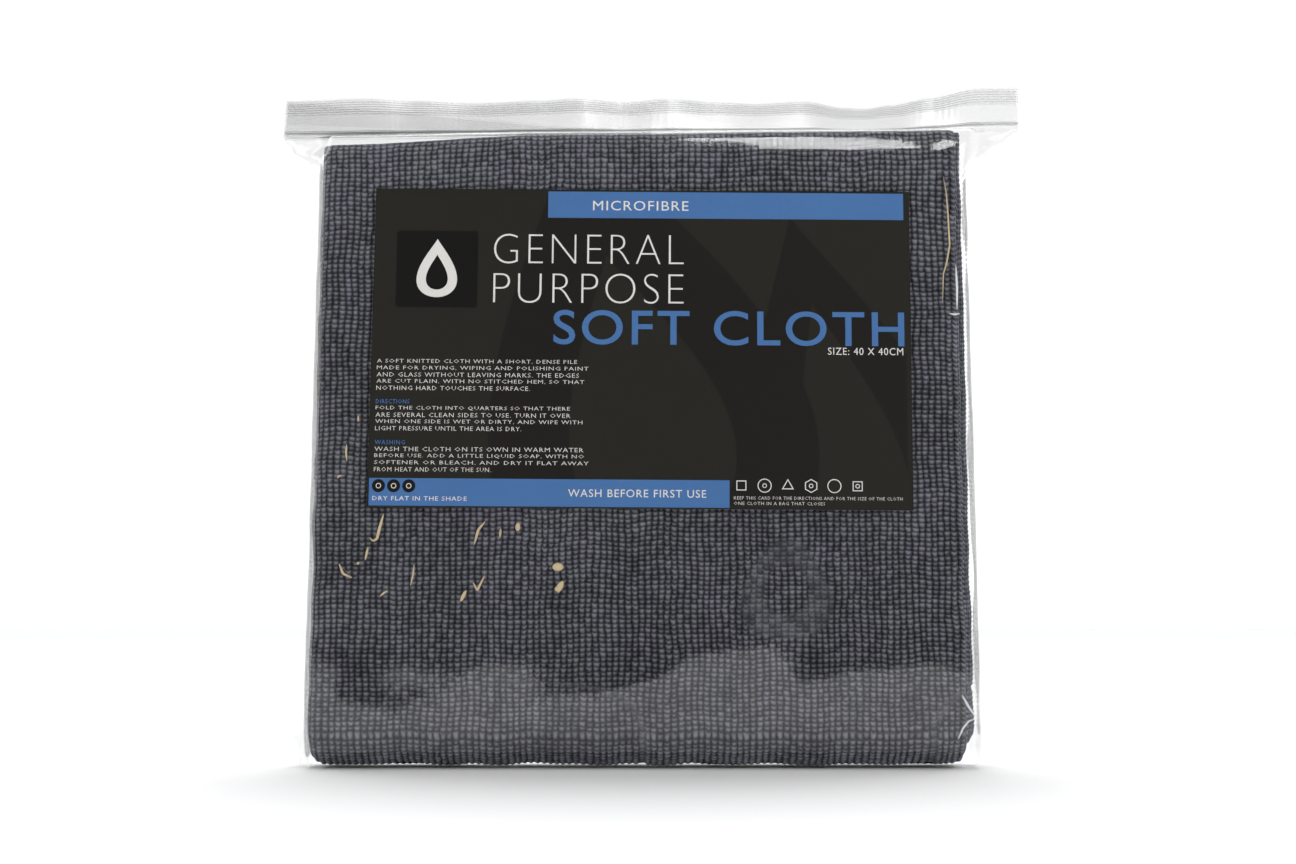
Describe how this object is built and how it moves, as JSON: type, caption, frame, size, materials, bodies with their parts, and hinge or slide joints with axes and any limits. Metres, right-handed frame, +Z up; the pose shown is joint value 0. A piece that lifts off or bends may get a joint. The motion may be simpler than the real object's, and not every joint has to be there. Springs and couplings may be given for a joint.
{
  "type": "bagged microfibre towel",
  "caption": "Quarter-folded pearl-knit microfibre car-drying cloth in a clear press-to-close bag with a printed label; the cloth slides up out of the opening mouth.",
  "frame": {"origin": "middle of the base, on the surface the pack stands on", "axes": "+X across the pack along the zip strip, -Y out of the label side, +Z up from the base fold to the zip"},
  "size_m": [0.23, 0.0228, 0.2065],
  "materials": {
    "cloth": "matte",
    "film": "gloss",
    "zip": "satin",
    "label": "satin"
  },
  "bodies": {
    "bag": {"front_wall": "film", "back_wall": "film", "base_fold": "film", "left_side_wall": "film", "right_side_wall": "film", "left_side_weld": "film", "right_side_weld": "film", "label": "label"},
    "cloth": {"folded_cloth": "cloth"},
    "front_flap": {"front_shoulder": "film", "front_lip": "zip", "zip_rib": "zip"},
    "back_flap": {"back_shoulder": "film", "back_lip": "zip", "zip_groove": "zip"}
  },
  "joints": [
    {"name": "cloth_slide", "type": "slide", "parent": "bag", "child": "cloth", "axis": [0, 0, 1], "range_m": [0, 0.15], "deforming": ["front_lip", "back_lip", "zip_rib", "zip_groove"]},
    {"name": "front_flap_hinge", "type": "hinge", "parent": "bag", "child": "front_flap", "pos_m": [0, -0.0108, 0.178], "axis": [1, 0, 0], "range_deg": [0, 50], "deforming": ["front_shoulder"]},
    {"name": "back_flap_hinge", "type": "hinge", "parent": "bag", "child": "back_flap", "pos_m": [0, 0.01115, 0.178], "axis": [-1, 0, 0], "range_deg": [0, 50], "deforming": ["back_shoulder"]}
  ],
  "couplings": [
    {"joint": "front_flap_hinge", "follows": "cloth_slide", "rad_per_m": 5.235},
    {"joint": "back_flap_hinge", "follows": "cloth_slide", "rad_per_m": 5.235}
  ]
}
